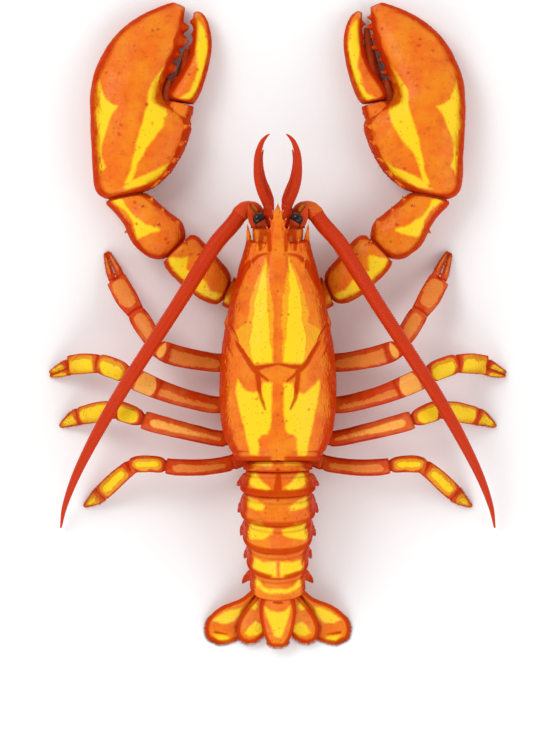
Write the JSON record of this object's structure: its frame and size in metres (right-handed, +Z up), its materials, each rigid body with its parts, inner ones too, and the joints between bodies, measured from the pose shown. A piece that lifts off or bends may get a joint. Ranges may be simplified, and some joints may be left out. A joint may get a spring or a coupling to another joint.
{
  "type": "american lobster model",
  "caption": "Life-size still model of an American lobster with its claws held forward, feelers swept back and tail fan spread on the floor.",
  "frame": {"origin": "centre of the bounding box on the floor, at the lowest points of the claws, leg tips and tail fan", "axes": "+X to the animal's left, +Y from head to tail, +Z up"},
  "size_m": [0.2758, 0.388, 0.0718],
  "materials": {
    "shell_orange": "glossy orange shell with yellow patches",
    "claw_orange": "glossy orange claw shell with yellow patches",
    "leg_red": "semi-gloss red shell",
    "feeler_red": "semi-gloss dark red",
    "underside": "satin pale orange",
    "eye_black": "glossy black"
  },
  "bodies": {
    "root": {"abdomen_1": "shell_orange", "abdomen_2": "shell_orange", "abdomen_3": "shell_orange", "abdomen_4": "shell_orange", "abdomen_5": "shell_orange", "abdomen_6": "shell_orange", "antenna_base_left": "feeler_red", "antenna_base_right": "feeler_red", "antenna_scale_left": "leg_red", "antenna_scale_right": "leg_red", "antenna_whip_1_left": "feeler_red", "antenna_whip_1_right": "feeler_red", "antenna_whip_2_left": "feeler_red", "antenna_whip_2_right": "feeler_red", "antennule_left": "feeler_red", "antennule_right": "feeler_red", "carapace": "shell_orange", "cheliped_carpus_left": "claw_orange", "cheliped_carpus_right": "claw_orange", "cheliped_ischium_left": "claw_orange", "cheliped_ischium_right": "claw_orange", "cheliped_merus_left": "claw_orange", "cheliped_merus_right": "claw_orange", "claw_finger_left": "claw_orange", "claw_finger_right": "claw_orange", "claw_palm_left": "claw_orange", "claw_palm_right": "claw_orange", "eye_left": "eye_black", "eye_right": "eye_black", "eyestalk_left": "leg_red", "eyestalk_right": "leg_red", "head": "underside", "leg_1_lower_left": "leg_red", "leg_1_lower_right": "leg_red", "leg_1_upper_left": "leg_red", "leg_1_upper_right": "leg_red", "leg_2_lower_left": "leg_red", "leg_2_lower_right": "leg_red", "leg_2_upper_left": "leg_red", "leg_2_upper_right": "leg_red", "leg_3_lower_left": "leg_red", "leg_3_lower_right": "leg_red", "leg_3_upper_left": "leg_red", "leg_3_upper_right": "leg_red", "leg_4_lower_left": "leg_red", "leg_4_lower_right": "leg_red", "leg_4_upper_left": "leg_red", "leg_4_upper_right": "leg_red", "maxilliped_left": "leg_red", "maxilliped_right": "leg_red", "sternum": "underside", "telson": "shell_orange", "uropod_inner_left": "shell_orange", "uropod_inner_right": "shell_orange", "uropod_outer_left": "shell_orange", "uropod_outer_right": "shell_orange"}
  },
  "joints": []
}
